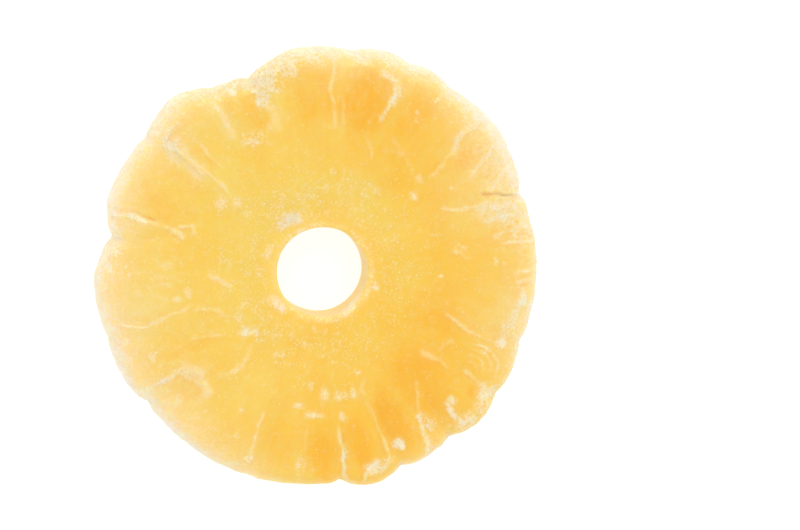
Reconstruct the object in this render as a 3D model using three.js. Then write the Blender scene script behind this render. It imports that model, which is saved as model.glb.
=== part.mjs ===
// A candied pineapple ring, lying flat: one slice through the fruit with the core punched out.
// Fruitlets stand side by side round the ring. A seam parts each from the next, from the rim inwards,
// and draws the rim in to a shallow notch. The slice rests on the swollen places of its underside.
// Millimetres, +Z up. The origin is the middle of the ring's box, on the surface that it lies on.

import * as THREE from "three";

const { DEG2RAD, lerp, smoothstep } = THREE.MathUtils;

// Driving sizes of the slice.
const RIM_RADIUS = 39;
const HOLE_RADIUS = 7.9;
const HOLE_SHIFT = new THREE.Vector2(0.2, -0.3); // the core was punched a little off the middle
const HOLE_WANDER = 0.08;
const RIM_THICKNESS = 10;
const HUB_THICKNESS = 9; // the firm flesh round the hole shrinks more than the fruitlets
const HUB_RADIUS = 17.5;

// How the section's corners are rounded.
const CHEEK_TOP = 3.2; // how far the top face curves over into the rim
const CHEEK_UNDER = 2.8;
const CHEEK_HEIGHT = 4.6; // where the rim reaches furthest out
const HOLE_LIP = 0.8;

// Relief.
const SEAM_WIDTH = 1.1;
const SEAM_FADE = 9; // how far it takes a seam to reach its full depth
const LIP_HEIGHT = 0.4; // of the cut, for the puckered flesh on both sides of a seam
const LIP_PLACE = 1.8; // of the seam's width
const BROAD_WAVES = 0.2;
const CLOSE_WAVES = 0.1;
const RIM_SHARE = 0.3; // of the relief of the faces is what the rim and the hole's wall have
const REST_LIFT = 0.1; // the hollows of the underside stand this much off the surface
const CURL = 0.9; // drying lifts two opposite sides of the rim by this much
const CURL_ANGLE = 35; // where the first of them is
const TILT = 0.6; // how far up or down the rim's widest place goes from fruitlet to fruitlet
const TILT_WAVES = 5; // times round the ring

// Steps across each fruitlet, closer together near its seams, and along each side of the section.
const FRUITLET_STEPS = 10;
const STEP_CROWDING = 0.45;
const STEPS = { top: 12, cheek: 5, underside: 8, hole: 2 };

// The fruitlets, anticlockwise. Each starts at a seam: its angle at the rim and the rim's reach in the
// notch there. Then come the angle and reach of the fruitlet's crown, its swell, and its seam's cut.
// The seam runs in as far as its root, which lies turned by its lean.
const FRUITLETS = [
  { seam: 20, notch: 38.3, crown: 38, reach: 39.9, swell: 0.35, cut: 1.0, root: 24, lean: 6 },
  { seam: 54, notch: 39.2, crown: 60, reach: 39.8, swell: 0.2, cut: 0.3, root: 27, lean: 0 },
  { seam: 66, notch: 39.3, crown: 72, reach: 39.8, swell: 0.25, cut: 0.6, root: 25, lean: 1 },
  { seam: 81, notch: 38.8, crown: 94, reach: 38.8, swell: 0.3, cut: 0.5, root: 24, lean: 0 },
  { seam: 110, notch: 35.8, crown: 116, reach: 36.3, swell: 0.15, cut: 0.7, root: 28, lean: -5 },
  { seam: 120, notch: 36.9, crown: 131, reach: 39.3, swell: 0.35, cut: 0.6, root: 25, lean: 2 },
  { seam: 142, notch: 38.3, crown: 160, reach: 38.8, swell: 0.3, cut: 0.6, root: 21, lean: 0 },
  { seam: 170, notch: 36.9, crown: 183, reach: 39.4, swell: 0.4, cut: 1.0, root: 23, lean: -6 },
  { seam: 197, notch: 39.0, crown: 208, reach: 39.3, swell: 0.25, cut: 0.4, root: 20, lean: 8 },
  { seam: 217, notch: 38.2, crown: 242, reach: 38.7, swell: 0.3, cut: 0.8, root: 28, lean: 5 },
  { seam: 250, notch: 38.7, crown: 256, reach: 38.6, swell: 0.2, cut: 0.4, root: 26, lean: 0 },
  { seam: 275, notch: 38.2, crown: 284, reach: 39.9, swell: 0.5, cut: 0.9, root: 25, lean: 3 },
  { seam: 292, notch: 39.0, crown: 298, reach: 39.4, swell: 0.25, cut: 0.8, root: 23, lean: -1 },
  { seam: 307, notch: 38.7, crown: 316, reach: 40.0, swell: 0.3, cut: 0.6, root: 26, lean: 3 },
  { seam: 324, notch: 39.3, crown: 330, reach: 39.4, swell: 0.2, cut: 0.5, root: 25, lean: -2 },
  { seam: 339, notch: 38.9, crown: 352, reach: 39.1, swell: 0.3, cut: 0.5, root: 26, lean: 0 },
];

const ring = new THREE.Group();
const flesh = new THREE.MeshStandardMaterial({ color: 0xf6c45a, roughness: 0.5, metalness: 0 });
const slice = new THREE.Mesh(sliceGeometry(), flesh);
slice.name = "pineapple_ring";
ring.add(slice);

// A plain slice, turned round the hole's axis, whose points then move to their real places.
function sliceGeometry() {
  const section = sectionPoints();
  const columns = FRUITLETS.length * FRUITLET_STEPS;
  const geometry = new THREE.LatheGeometry(section, columns);
  geometry.normalizeNormals();
  const { position, normal } = geometry.attributes;
  for (let i = 0; i < position.count; i++) {
    const column = Math.floor(i / section.length) % columns;
    const plain = section[i % section.length];
    const steep = normal.getY(i);
    const outward = Math.hypot(normal.getX(i), normal.getZ(i)) * (plain.x > HUB_RADIUS ? 1 : -1);
    const place = placeInSlice(column / FRUITLET_STEPS, plain, outward, steep);
    position.setXYZ(i, place.x, place.y, place.z);
  }
  geometry.computeBoundingBox();
  const middle = geometry.boundingBox.getCenter(new THREE.Vector3());
  return geometry.translate(-middle.x, -middle.y, 0);
}

// The section of the plain slice, as points of a closed outline: radius across, height up. It starts
// and ends half way up the hole's wall, so that both ends have the same normal.
function sectionPoints() {
  const bend = RIM_RADIUS - CHEEK_TOP;
  const fold = RIM_RADIUS - CHEEK_UNDER;
  const overhang = RIM_THICKNESS - CHEEK_HEIGHT;
  const lipRadius = HOLE_RADIUS + HOLE_LIP;
  const lipHeight = RIM_THICKNESS - HOLE_LIP;
  const halfway = RIM_THICKNESS / 2;
  const line = (x1, y1, x2, y2) => new THREE.LineCurve(new THREE.Vector2(x1, y1), new THREE.Vector2(x2, y2));
  const quarter = (x, rx, ry, from, to) =>
    new THREE.EllipseCurve(x, CHEEK_HEIGHT, rx, ry, from * Math.PI, to * Math.PI);
  const sides = [
    [line(HOLE_RADIUS, halfway, HOLE_RADIUS, HOLE_LIP), STEPS.hole],
    [line(HOLE_RADIUS, HOLE_LIP, lipRadius, 0), 1],
    [line(lipRadius, 0, fold, 0), STEPS.underside],
    [quarter(fold, CHEEK_UNDER, CHEEK_HEIGHT, -0.5, 0), STEPS.cheek],
    [quarter(bend, CHEEK_TOP, overhang, 0, 0.5), STEPS.cheek],
    [line(bend, RIM_THICKNESS, lipRadius, RIM_THICKNESS), STEPS.top],
    [line(lipRadius, RIM_THICKNESS, HOLE_RADIUS, lipHeight), 1],
    [line(HOLE_RADIUS, lipHeight, HOLE_RADIUS, halfway), STEPS.hole],
  ];
  const corners = sides.flatMap(([side, steps]) => side.getSpacedPoints(steps).slice(0, -1));
  return [...corners, corners[0]];
}

// Where a point of the plain slice really lies. Its turn counts fruitlets and parts of a fruitlet from
// the first seam, and plain is its radius and height. Relief pushes it outward and along its steepness.
function placeInSlice(turn, plain, outward, steep) {
  const index = Math.floor(turn);
  const fruitlet = FRUITLETS[index];
  const next = FRUITLETS[(index + 1) % FRUITLETS.length];
  const share = turn - index - (STEP_CROWDING * Math.sin(2 * Math.PI * (turn - index))) / (2 * Math.PI);
  const start = seamAngle(fruitlet, plain.x);
  const end = seamAngle(next, plain.x) + (next.seam < fruitlet.seam ? 360 : 0);
  const angle = lerp(start, end, share);
  const width = (next.seam - fruitlet.seam + 360) % 360;
  const crown = (fruitlet.crown - fruitlet.seam) / width;
  const nearness = crownNearness(share < crown ? share / crown : (1 - share) / (1 - crown));

  const ray = new THREE.Vector2(Math.cos(angle * DEG2RAD), Math.sin(angle * DEG2RAD));
  const reach = lerp(share < crown ? fruitlet.notch : next.notch, fruitlet.reach, nearness);
  const across = (plain.x - HOLE_RADIUS) / (RIM_RADIUS - HOLE_RADIUS);
  const atHole = ray.clone().multiplyScalar(holeRadius(angle * DEG2RAD)).add(HOLE_SHIFT);
  const place = atHole.lerp(ray.clone().multiplyScalar(reach), across);

  const seams =
    seamRelief(fruitlet, (angle - start) * DEG2RAD * plain.x, plain.x) +
    seamRelief(next, (end - angle) * DEG2RAD * plain.x, plain.x);
  const swell = fruitlet.swell * nearness * smoothstep(plain.x, HUB_RADIUS, RIM_RADIUS - CHEEK_TOP);
  const push = seams + swell + unevenness(place, plain.y);
  place.addScaledVector(ray, RIM_SHARE * push * outward);
  const lift = push * steep + REST_LIFT * Math.max(0, -steep) + curl(angle, plain.x);
  return new THREE.Vector3(place.x, place.y, Math.max(0, plainHeight(turn, plain) + lift));
}

// The height of a point before its relief: less near the hole, and tilted up or down on the rim.
function plainHeight(turn, plain) {
  const hub = 1 - smoothstep(plain.x, HOLE_RADIUS, HUB_RADIUS + SEAM_FADE);
  const thickness = lerp(RIM_THICKNESS, HUB_THICKNESS, hub);
  const up = plain.y / RIM_THICKNESS;
  const wave = Math.sin((2 * Math.PI * TILT_WAVES * turn) / FRUITLETS.length);
  const atRim = smoothstep(plain.x, RIM_RADIUS - CHEEK_TOP, RIM_RADIUS);
  return up * thickness + 4 * up * (1 - up) * TILT * wave * atRim;
}

// How far drying has lifted the slice off its surface, at an angle and a radius.
function curl(angle, radius) {
  const side = (1 + Math.cos(2 * (angle - CURL_ANGLE) * DEG2RAD)) / 2;
  return CURL * side * smoothstep(radius, HUB_RADIUS, RIM_RADIUS + CHEEK_TOP);
}

// The angle of a fruitlet's seam at a radius. It leans over on its way in from the rim.
function seamAngle(fruitlet, radius) {
  return fruitlet.seam + fruitlet.lean * (1 - smoothstep(radius, fruitlet.root, RIM_RADIUS - 1));
}

// How much of its crown's height a fruitlet has some way from its seam: 0 on the seam, 1 on the crown.
function crownNearness(way) {
  const round = way * (2 - way);
  return lerp(round, smoothstep(way, 0, 1), 0.5);
}

function holeRadius(angle) {
  return HOLE_RADIUS + HOLE_WANDER * (Math.cos(2 * angle + 0.6) + 0.5 * Math.cos(5 * angle));
}

// A seam's relief at a distance from it: a groove with a puckered lip on both sides.
function seamRelief(fruitlet, distance, radius) {
  const away = distance / SEAM_WIDTH;
  const groove = Math.exp(-(away ** 2));
  const lip = LIP_HEIGHT * Math.exp(-((away - LIP_PLACE) ** 2));
  return fruitlet.cut * smoothstep(radius, fruitlet.root, fruitlet.root + SEAM_FADE) * (lip - groove);
}

// Broad, shallow waves of dried flesh. The height makes the underside differ from the top.
function unevenness(place, height) {
  const drift = height / 4;
  const broad = Math.sin(place.x / 6.1 + drift) * Math.cos(place.y / 7.3 - drift);
  const close = Math.sin((place.x + place.y) / 3.2 + 2 * drift) * Math.cos((place.x - place.y) / 3.9);
  return BROAD_WAVES * broad + CLOSE_WAVES * close;
}

export default ring;
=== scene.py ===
# %% [markdown]
# # A candied pineapple ring
# The real thing is one slice of a peeled pineapple with its core punched out. It was cooked in syrup,
# part dried and dusted with sugar, so it is firm, golden and lets light in. The slice is a known shape
# already: a CAD model of it is loaded here as the frame. This lesson makes the same slice again, finer,
# with creases, frost and sugar grains, and gives it its finish. Everything is in metres, where the CAD
# model has it.

# %% Load the frame
from math import radians

import bpy
import numpy as np
from mathutils import Matrix, Vector


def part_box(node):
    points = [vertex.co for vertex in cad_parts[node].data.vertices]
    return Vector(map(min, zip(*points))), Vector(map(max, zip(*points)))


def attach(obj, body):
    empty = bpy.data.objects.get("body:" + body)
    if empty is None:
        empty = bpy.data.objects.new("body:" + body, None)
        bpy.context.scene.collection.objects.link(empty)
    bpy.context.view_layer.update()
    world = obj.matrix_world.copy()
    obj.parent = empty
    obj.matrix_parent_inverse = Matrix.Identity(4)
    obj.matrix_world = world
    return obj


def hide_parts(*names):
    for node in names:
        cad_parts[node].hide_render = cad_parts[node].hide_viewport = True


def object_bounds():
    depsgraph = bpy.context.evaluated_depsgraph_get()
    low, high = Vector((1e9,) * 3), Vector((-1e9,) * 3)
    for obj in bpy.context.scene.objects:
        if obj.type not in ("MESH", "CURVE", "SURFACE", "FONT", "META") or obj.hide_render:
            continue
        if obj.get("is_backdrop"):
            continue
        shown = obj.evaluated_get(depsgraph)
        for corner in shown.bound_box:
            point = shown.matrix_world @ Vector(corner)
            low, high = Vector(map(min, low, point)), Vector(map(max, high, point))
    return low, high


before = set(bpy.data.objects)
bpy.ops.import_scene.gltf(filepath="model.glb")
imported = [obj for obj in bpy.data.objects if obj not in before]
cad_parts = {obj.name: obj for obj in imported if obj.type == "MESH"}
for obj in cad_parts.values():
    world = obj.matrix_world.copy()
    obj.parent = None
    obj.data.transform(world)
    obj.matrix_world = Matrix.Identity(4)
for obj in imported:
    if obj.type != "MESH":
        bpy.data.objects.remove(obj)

NODE = "pineapple_ring"
MM = 0.001
cad_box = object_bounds()
low, high = (np.array(corner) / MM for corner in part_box(NODE))
print("the CAD slice measures", np.round(high - low, 2), "mm")

# %% [markdown]
# ## The camera
# A slice is judged from its cut face, so the camera looks almost straight down, from a little to the
# upper left. A long lens from far away keeps the round outline round. Three directions turn the camera:
# what it looks along, what is right in the picture and what is up. Two cross products give the last two
# from the first, with +Y kept up.

# %% Place the camera
CAMERA_PLACE = Vector((-48, 48, 390)) * MM
CAMERA_AIM = Vector((14.6, 0.35, 5)) * MM
LENS = 100
SENSOR = 36

look = (CAMERA_AIM - CAMERA_PLACE).normalized()
right = look.cross(Vector((0, 1, 0))).normalized()
camera = bpy.data.objects.new("camera", bpy.data.cameras.new("camera"))
camera.data.lens = LENS
camera.data.sensor_width = SENSOR
camera.location = CAMERA_PLACE
camera.rotation_mode = "QUATERNION"
camera.rotation_quaternion = Matrix((right, right.cross(look), -look)).transposed().to_quaternion()
bpy.context.scene.collection.objects.link(camera)
bpy.context.scene.camera = camera
print("the camera is", round((CAMERA_AIM - CAMERA_PLACE).length, 3), "m from the slice")

# %% [markdown]
# ## The sizes of the slice
# The CAD source names the sizes that drive the slice. The same sizes are written here, in millimetres,
# so that the finer slice has exactly the same form: a section that is rounded at its rim, and a table of
# fruitlets. A pineapple is many small fruits grown together, and a slice cuts through 16 of them here.

# %% Driving sizes
RIM_RADIUS = 39
HOLE_RADIUS = 7.9
HOLE_SHIFT = np.array([0.2, -0.3])
HOLE_WANDER = 0.08
RIM_THICKNESS = 10
HUB_THICKNESS = 9
HUB_RADIUS = 17.5
CHEEK_TOP = 3.2
CHEEK_UNDER = 2.8
CHEEK_HEIGHT = 4.6
HOLE_LIP = 0.8
SEAM_WIDTH = 1.1
SEAM_FADE = 9
LIP_HEIGHT = 0.4
LIP_PLACE = 1.8
BROAD_WAVES = 0.2
CLOSE_WAVES = 0.1
RIM_SHARE = 0.3
REST_LIFT = 0.1
CURL = 0.9
CURL_ANGLE = 35
TILT = 0.6
TILT_WAVES = 5
print("the rim is", RIM_THICKNESS, "mm thick, the hub", HUB_THICKNESS, "mm")

# %% The fruitlets
FRUITLET_COLUMNS = ("seam", "notch", "crown", "reach", "swell", "cut", "root", "lean")
FRUITLET_ROWS = np.array([
    (20, 38.3, 38, 39.9, 0.35, 1.0, 24, 6),
    (54, 39.2, 60, 39.8, 0.2, 0.3, 27, 0),
    (66, 39.3, 72, 39.8, 0.25, 0.6, 25, 1),
    (81, 38.8, 94, 38.8, 0.3, 0.5, 24, 0),
    (110, 35.8, 116, 36.3, 0.15, 0.7, 28, -5),
    (120, 36.9, 131, 39.3, 0.35, 0.6, 25, 2),
    (142, 38.3, 160, 38.8, 0.3, 0.6, 21, 0),
    (170, 36.9, 183, 39.4, 0.4, 1.0, 23, -6),
    (197, 39.0, 208, 39.3, 0.25, 0.4, 20, 8),
    (217, 38.2, 242, 38.7, 0.3, 0.8, 28, 5),
    (250, 38.7, 256, 38.6, 0.2, 0.4, 26, 0),
    (275, 38.2, 284, 39.9, 0.5, 0.9, 25, 3),
    (292, 39.0, 298, 39.4, 0.25, 0.8, 23, -1),
    (307, 38.7, 316, 40.0, 0.3, 0.6, 26, 3),
    (324, 39.3, 330, 39.4, 0.2, 0.5, 25, -2),
    (339, 38.9, 352, 39.1, 0.3, 0.5, 26, 0),
])
FRUITLETS = dict(zip(FRUITLET_COLUMNS, FRUITLET_ROWS.T))
FRUITLET_COUNT = len(FRUITLET_ROWS)
widths = (np.roll(FRUITLETS["seam"], -1) - FRUITLETS["seam"]) % 360
print(FRUITLET_COUNT, "fruitlets, the widest of them", widths.max(), "degrees")

# %% [markdown]
# ## Noise
# Nothing in food repeats. Noise is a wavy field without a pattern: here every corner of a grid of cubes
# gets a random height from its own whole-number place, and the heights are blended in between. That
# makes it the same in each run. The place is turned into a random height by a hash: it is multiplied by
# large numbers and its bits are mixed. The `layered` helper adds finer and weaker copies, as clouds have.

# %% Noise from hashed grid corners
AXIS_FACTORS = (73856093, 19349663, 83492791)
SEED_FACTOR = 2654435761
MIXING_ROUNDS = ((15, 2246822519), (13, 3266489917))
LOW_32_BITS = np.uint64(0xFFFFFFFF)
LOW_16_BITS = np.uint64(0xFFFF)
ABOVE_ZERO = 1000


def corner_heights(corners, seed):
    x, y, z = (corners[..., i].astype(np.uint64) * np.uint64(AXIS_FACTORS[i]) for i in range(3))
    mixed = x ^ y ^ z ^ np.uint64(seed * SEED_FACTOR)
    for shift, factor in MIXING_ROUNDS:
        mixed = (mixed & LOW_32_BITS) * np.uint64(factor)
        mixed ^= mixed >> np.uint64(shift)
    return (mixed & LOW_16_BITS).astype(float) / 0x7FFF - 1


def noise(points, size, seed):
    scaled = points / size + ABOVE_ZERO
    cell = np.floor(scaled)
    part = scaled - cell
    ease = part * part * (3 - 2 * part)
    total = np.zeros(points.shape[:-1])
    for corner in np.ndindex(2, 2, 2):
        corner = np.array(corner)
        weight = np.where(corner, ease, 1 - ease).prod(axis=-1)
        total += weight * corner_heights((cell + corner).astype(np.int64), seed)
    return total


def layered(points, size, seed, layers=3):
    return sum(noise(points, size / 2**n, seed + n) / 2**n for n in range(layers)) / 1.5


def smoothstep(value, start, end):
    part = np.clip((value - start) / (end - start), 0, 1)
    return part * part * (3 - 2 * part)


sample = noise(np.random.default_rng(1).uniform(0, 50, (1000, 3)), 2, seed=1)
print("noise runs from", sample.min().round(2), "to", sample.max().round(2))

# %% [markdown]
# ## The section
# A lathe turns a section round an axis. The section of the slice is a closed outline: down the hole's
# wall, round a small lip, out along the underside, up round the rim's cheek, in over the face and round
# the upper lip. Most of its points go to the upper face, closest near the rim, because that is where
# the creases and the frost are.

# %% Walk round the section
STEPS = {"wall": 6, "lip": 4, "underside": 10, "cheek_under": 8, "cheek": 11, "face": 60}
FACE_EASE = 1.3


def arc(centre, radii, start, end, steps):
    angles = np.radians(np.linspace(start, end, steps, endpoint=False))
    return np.array(centre) + np.array(radii) * np.column_stack([np.cos(angles), np.sin(angles)])


def straight(start, end, steps, ease=1.0):
    share = (np.arange(steps) / steps)[:, None] ** ease
    return np.array(start) * (1 - share) + np.array(end) * share


def walk_round_the_section():
    lip = HOLE_RADIUS + HOLE_LIP
    high_lip = RIM_THICKNESS - HOLE_LIP
    fold = RIM_RADIUS - CHEEK_UNDER
    bend = RIM_RADIUS - CHEEK_TOP
    overhang = RIM_THICKNESS - CHEEK_HEIGHT
    return np.concatenate([
        straight((HOLE_RADIUS, high_lip), (HOLE_RADIUS, HOLE_LIP), STEPS["wall"]),
        arc((lip, HOLE_LIP), (HOLE_LIP, HOLE_LIP), 180, 270, STEPS["lip"]),
        straight((lip, 0), (fold, 0), STEPS["underside"]),
        arc((fold, CHEEK_HEIGHT), (CHEEK_UNDER, CHEEK_HEIGHT), 270, 360, STEPS["cheek_under"]),
        arc((bend, CHEEK_HEIGHT), (CHEEK_TOP, overhang), 0, 90, STEPS["cheek"]),
        straight((bend, RIM_THICKNESS), (lip, RIM_THICKNESS), STEPS["face"], FACE_EASE),
        arc((lip, high_lip), (HOLE_LIP, HOLE_LIP), 90, 180, STEPS["lip"]),
    ])


section = walk_round_the_section()
ahead = np.roll(section, -1, axis=0) - np.roll(section, 1, axis=0)
section_normal = np.column_stack([ahead[:, 1], -ahead[:, 0]]) / np.linalg.norm(ahead, axis=1)[:, None]
plain_radius, plain_height = section.T
outward = np.abs(section_normal[:, 0]) * np.where(plain_radius > HUB_RADIUS, 1, -1)
steep = section_normal[:, 1]
print(len(section), "points round the section; the face points", steep.max().round(2), "up")

# %% [markdown]
# ## Turning the section
# Each column of points stands at its own angle. All columns between two seams share that fruitlet's
# lean, swell and reach, so the seams run along the mesh and never cut across it. Numpy works out all
# columns at once: angles are a column of numbers, radii a row, and together they make a grid.

# %% Place every column
COLUMNS = 960
counts = np.round(COLUMNS * widths / 360).astype(int)
index = np.repeat(np.arange(FRUITLET_COUNT), counts)
share = np.concatenate([np.arange(count) / count for count in counts])[:, None]
own = {name: values[index][:, None] for name, values in FRUITLETS.items()}
after = {name: np.roll(values, -1)[index][:, None] for name, values in FRUITLETS.items()}


def seam_angle(fruitlet, radius):
    return fruitlet["seam"] + fruitlet["lean"] * (1 - smoothstep(radius, fruitlet["root"], RIM_RADIUS - 1))


def seam_relief(fruitlet, distance, radius):
    away = distance / SEAM_WIDTH
    lip = LIP_HEIGHT * np.exp(-((away - LIP_PLACE) ** 2))
    fade = smoothstep(radius, fruitlet["root"], fruitlet["root"] + SEAM_FADE)
    return fruitlet["cut"] * fade * (lip - np.exp(-(away**2)))


start = seam_angle(own, plain_radius)
end = seam_angle(after, plain_radius) + np.where(after["seam"] < own["seam"], 360, 0)
angle = start + (end - start) * share
crown = (own["crown"] - own["seam"]) / widths[index][:, None]
way = np.where(share < crown, share / crown, (1 - share) / (1 - crown))
nearness = (way * (2 - way) + smoothstep(way, 0, 1)) / 2
print(len(index), "columns of", len(section), "points")

# %% [markdown]
# ## The relief of the slice
# Drying shrinks the flesh unevenly. Broad waves run over both faces, every fruitlet swells up between
# its seams, the seams sink in, and two opposite sides of the rim curl up. Cut with a knife, the upper
# face stays flatter than the rim, so the seams lose most of their depth there.

# %% Waves, and the wander of the hole
BROAD_LENGTHS = (6.1, 7.3)
CLOSE_LENGTHS = (3.2, 3.9)
DRIFT_LENGTH = 4


def unevenness(x, y, height):
    drift = height / DRIFT_LENGTH
    broad = np.sin(x / BROAD_LENGTHS[0] + drift) * np.cos(y / BROAD_LENGTHS[1] - drift)
    close = np.sin((x + y) / CLOSE_LENGTHS[0] + 2 * drift) * np.cos((x - y) / CLOSE_LENGTHS[1])
    return BROAD_WAVES * broad + CLOSE_WAVES * close


def hole_radius(at):
    return HOLE_RADIUS + HOLE_WANDER * (np.cos(2 * at + 0.6) + 0.5 * np.cos(5 * at))


turn = np.radians(angle)
print("the hole's radius is", hole_radius(turn).min().round(2), "to", hole_radius(turn).max().round(2), "mm")

# %% Move the points across
FACE_SEAM_SHARE = 0.15
FACE_SLOPE = (0.2, 0.7)
FACE_EDGE = (36.5, 38.5)

ray = np.stack([np.cos(turn), np.sin(turn)], axis=-1)
nearest_notch = np.where(share < crown, own["notch"], after["notch"])
reach = nearest_notch + (own["reach"] - nearest_notch) * nearness
across = ((plain_radius - HOLE_RADIUS) / (RIM_RADIUS - HOLE_RADIUS))[:, None]
at_hole = ray * hole_radius(turn)[..., None] + HOLE_SHIFT
place = at_hole * (1 - across) + ray * reach[..., None] * across

seams = seam_relief(own, np.radians(angle - start) * plain_radius, plain_radius)
seams += seam_relief(after, np.radians(end - angle) * plain_radius, plain_radius)
on_face = smoothstep(steep, *FACE_SLOPE) * (1 - smoothstep(plain_radius, *FACE_EDGE))
seams *= 1 - on_face * (1 - FACE_SEAM_SHARE)
swell = own["swell"] * nearness * smoothstep(plain_radius, HUB_RADIUS, RIM_RADIUS - CHEEK_TOP)
push = seams + swell + unevenness(place[..., 0], place[..., 1], plain_height)
place += ray * (RIM_SHARE * push * outward)[..., None]
print("seams sink in by up to", -seams.min().round(2), "mm; fruitlets swell by", swell.max().round(2), "mm")

# %% Move the points up
hub = 1 - smoothstep(plain_radius, HOLE_RADIUS, HUB_RADIUS + SEAM_FADE)
thickness = RIM_THICKNESS + (HUB_THICKNESS - RIM_THICKNESS) * hub
up = plain_height / RIM_THICKNESS
tilt = np.sin(2 * np.pi * TILT_WAVES * (index[:, None] + share) / FRUITLET_COUNT)
tilt = 4 * up * (1 - up) * TILT * tilt * smoothstep(plain_radius, RIM_RADIUS - CHEEK_TOP, RIM_RADIUS)
curl = CURL * (1 + np.cos(2 * np.radians(angle - CURL_ANGLE))) / 2
curl = curl * smoothstep(plain_radius, HUB_RADIUS, RIM_RADIUS + CHEEK_TOP)
height = up * thickness + tilt + push * steep + REST_LIFT * np.maximum(0, -steep) + curl
points = np.dstack([place, np.maximum(0, height)])
middle = (points[..., :2].max((0, 1)) + points[..., :2].min((0, 1))) / 2
points[..., :2] += (high + low)[:2] / 2 - middle
print("the slice measures", np.round(np.ptp(points, axis=(0, 1)), 2), "mm")

# %% [markdown]
# ## A mesh from a grid
# The points form a grid that closes on itself both ways, like a tube bent into a ring. So a face needs
# no search for its corners: they are the four neighbours in the grid, and `np.roll` finds them all.

# %% Normals and faces from the grid
UPPER_SIDE = (5, 8)
rows = len(section)
columns = len(index)
grid = np.arange(columns * rows).reshape(columns, rows)


def neighbours(values):
    beside = np.roll(values, -1, axis=0)
    return values, beside, np.roll(beside, -1, axis=1), np.roll(values, -1, axis=1)


def grid_normals(at):
    round_the_ring = np.roll(at, -1, axis=0) - np.roll(at, 1, axis=0)
    along_the_section = np.roll(at, -1, axis=1) - np.roll(at, 1, axis=1)
    crossed = np.cross(round_the_ring, along_the_section)
    return crossed / np.maximum(np.linalg.norm(crossed, axis=-1, keepdims=True), 1e-9)


faces = np.stack(neighbours(grid), axis=-1).reshape(-1, 4)
flat_points = points.reshape(-1, 3)
normals = grid_normals(points).reshape(-1, 3)
upper = smoothstep(flat_points[:, 2], *UPPER_SIDE) * (normals[:, 2] > 0)
print(len(faces), "faces;", int((upper > 0.5).sum()), "points lie on the upper side")

# %% [markdown]
# ## Creases
# On the cut face the walls between fruitlets show as pale, slightly raised skins. Some are thin lines,
# some are broad and milky, some end in a hook or are the edge of a flap that has folded over, and one is
# an open slit. Each is drawn as a path of a few points, as angle and radius about the place that they
# fan out from. Five numbers go with a path: how wide the skin is and how high it stands, in millimetres,
# how frosty and how milky it is, and how much its one side is raised as a flap.

# %% Creases at the upper right
FAN_CENTRE = np.array([-0.6, 0.6])
CREASES = [
    # width, height, frost, milk, flap, path
    (0.42, 0.30, 0.24, 0.52, 0.0, [(41.7, 38.9), (42.1, 36.5), (42.7, 34.4), (41, 31.9), (39.9, 29.8)]),
    (0.35, 0.15, 0.10, 0.30, 0.0, [(40.4, 30.8), (39.1, 27.1), (38.4, 24.7)]),
    (0.34, 0.20, 0.20, 0.65, 0.0, [(34.9, 37.5), (33.3, 35.3), (31.6, 32.5), (29.5, 29.8)]),
    (0.70, 0.15, 0.20, 0.95, 0.0, [(46, 39), (39.8, 38.8), (35, 38.3), (30.5, 37.9), (25.9, 37.5),
                                   (22, 37.2)]),
    (0.45, 0.15, 0.25, 0.75, 0.0, [(27.7, 37.1), (25, 34.6), (24.2, 32)]),
    # The slit sinks in, and the glassy colour along it is painted shade.
    (0.34, -0.80, 0.00, 0.00, 0.0, [(23.9, 31.2), (22.3, 32.8), (21.6, 34), (20.3, 35.2), (19.2, 37.3)]),
    (0.30, 0.12, 0.30, 0.50, 0.0, [(26.1, 24.1), (24.1, 24.9), (22.1, 26.3), (20.7, 29.6), (20.1, 32.1)]),
    (0.30, 0.10, 0.00, 0.22, 0.0, [(61, 26.1), (55.3, 25.3), (48.9, 24.3), (42.4, 22.8)]),
    (0.26, 0.08, 0.00, 0.18, 0.0, [(62, 23.2), (56.3, 24.4), (50.6, 24.6)]),
]
print(len(CREASES), "creases so far")

# %% Creases at the top
CREASES += [
    # width, height, frost, milk, flap, path
    (0.75, 0.30, 0.50, 0.85, 0.0, [(72.9, 35.8), (70.3, 35.7), (67.8, 35), (66.2, 33.8), (65.7, 31.6),
                                   (66, 30.4)]),
    (0.40, 0.15, 0.45, 0.35, 0.0, [(65.9, 31), (66.7, 29.3), (66.7, 27.4)]),
    (0.26, 0.08, 0.00, 0.30, 0.0, [(69.7, 24.3), (65.8, 22.7), (63.2, 21)]),
    (0.24, 0.25, 0.00, 0.22, 0.3, [(81.3, 29.7), (80.7, 27.5), (80.2, 24.7)]),
    (0.40, 0.15, 0.20, 0.40, 0.0, [(86.1, 37.9), (85.2, 34.4), (85.8, 31.1), (84.5, 28.5), (83.8, 26.3),
                                   (82.8, 23.9)]),
    (1.10, 0.10, 0.15, 0.40, 0.0, [(105.3, 29.7), (105.6, 27.2), (109.2, 25)]),
    (0.36, 0.15, 0.60, 0.30, 0.0, [(119.2, 27.4), (118.8, 25.3), (115.5, 24.2), (111.9, 24.7)]),
    (0.62, 0.20, 0.40, 0.70, 0.0, [(121.6, 35), (121.6, 31.2), (122, 28.2), (122.9, 26.4)]),
    (0.28, 0.10, 0.00, 0.45, 0.0, [(132.6, 30.2), (133.3, 27.3), (132.6, 23.8)]),
]
print(len(CREASES), "creases so far")

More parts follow.
